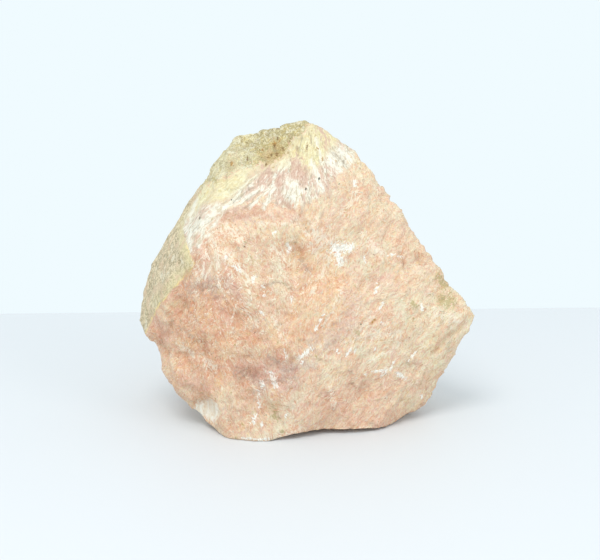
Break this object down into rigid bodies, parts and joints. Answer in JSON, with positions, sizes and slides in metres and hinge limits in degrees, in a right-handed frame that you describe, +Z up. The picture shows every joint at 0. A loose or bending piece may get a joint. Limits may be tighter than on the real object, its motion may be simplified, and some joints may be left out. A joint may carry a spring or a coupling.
{
  "type": "barite specimen",
  "caption": "Rough broken block of massive pink barite with a stained cap, resting on its flat underside.",
  "frame": {"origin": "middle of the block's bounding box, on the plane that the underside rests on", "axes": "+X to the right along the broad front face, +Y from the front face to the back, +Z up"},
  "size_m": [0.122, 0.0722, 0.1077],
  "materials": {
    "pink_barite": "chalky matt broken surface"
  },
  "bodies": {
    "root": {"barite_block": "pink_barite"}
  },
  "joints": []
}
